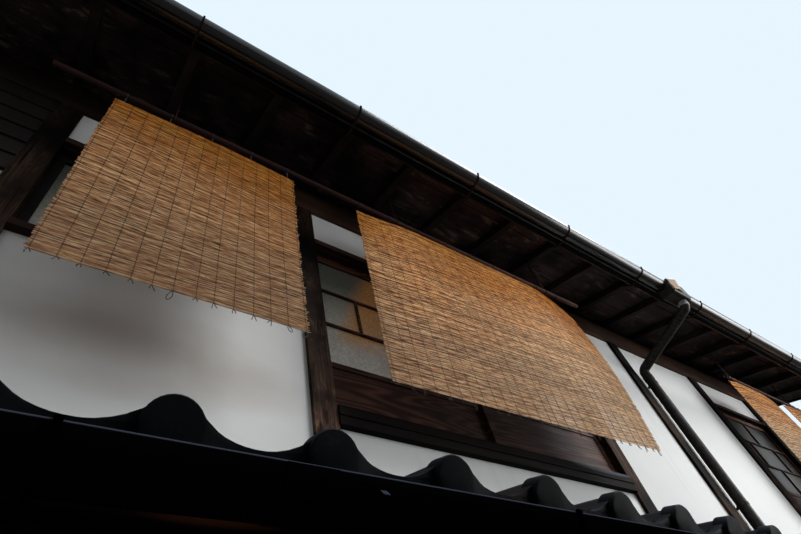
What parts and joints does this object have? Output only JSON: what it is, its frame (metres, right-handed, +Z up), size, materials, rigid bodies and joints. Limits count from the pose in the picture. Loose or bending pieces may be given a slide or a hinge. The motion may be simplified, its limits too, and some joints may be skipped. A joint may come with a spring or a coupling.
{
  "type": "machiya townhouse",
  "caption": "Timber townhouse of a row: plaster between posts, wooden sliding sashes, tiled main and lower eaves with half-round gutters, and reed shades on poles.",
  "frame": {"origin": "on the ground, at the middle of the bounding box", "axes": "+X along the street, to the right for a person who faces the house from the street; +Y from the street side to the back; +Z up"},
  "size_m": [8.8636, 7.679, 6.1654],
  "materials": {
    "base_stone": "rough",
    "frame_timber": "weathered",
    "party_wall_clay": "smooth plaster",
    "white_plaster": "smooth plaster",
    "old_boards": "weathered",
    "window_timber": "weathered",
    "sash_timber": "worn",
    "window_glass": "frosted",
    "eave_timber": "stained",
    "fascia_timber": "weathered",
    "roof_tile": "matt",
    "gutter_metal": "aged gloss",
    "hoop_iron": "rusty",
    "pipe_metal": "aged",
    "bamboo_pole": "aged",
    "hanger_wood": "weathered",
    "shade_reed": "natural",
    "tie_cord": "twine"
  },
  "bodies": {
    "root": {"base_stones": "base_stone", "ground_floor": "base_stone", "ground_sills": "frame_timber", "front_posts": "frame_timber", "back_posts": "frame_timber", "left_party_wall": "party_wall_clay", "right_party_wall": "party_wall_clay", "middle_beams": "frame_timber", "wall_beams": "frame_timber", "ridge_beam": "frame_timber", "upper_floor": "frame_timber", "floor_joists": "frame_timber", "front_plaster": "white_plaster", "back_plaster": "white_plaster", "board_panel": "old_boards", "front_window_frames": "window_timber", "back_window_frames": "window_timber", "left_window_sashes": "sash_timber", "middle_window_sashes": "sash_timber", "right_window_sashes": "sash_timber", "back_window_sashes": "sash_timber", "lower_window_sashes": "sash_timber", "entrance_doors": "sash_timber", "window_glass": "window_glass", "roof_rafters": "eave_timber", "eave_blocking": "eave_timber", "roof_boards": "eave_timber", "eave_fascias": "fascia_timber", "front_roof_tiles": "roof_tile", "back_roof_tiles": "roof_tile", "ridge_tiles": "roof_tile", "ridge_end_tiles": "roof_tile", "verge_tiles": "roof_tile", "eave_tile_ends": "roof_tile", "roof_gutters": "gutter_metal", "pent_gutters": "gutter_metal", "gutter_hangers": "hoop_iron", "front_downpipes": "pipe_metal", "back_downpipes": "pipe_metal", "pent_roof_arms": "frame_timber", "pent_roof_purlins": "frame_timber", "pent_roof_rafters": "frame_timber", "pent_roof_boards": "eave_timber", "pent_roof_tiles": "roof_tile", "shade_poles": "bamboo_pole", "pole_hangers": "hanger_wood", "shade_ties": "tie_cord", "left_shade": "shade_reed", "middle_shade": "shade_reed", "right_shade": "shade_reed", "end_shade": "shade_reed"}
  },
  "joints": []
}
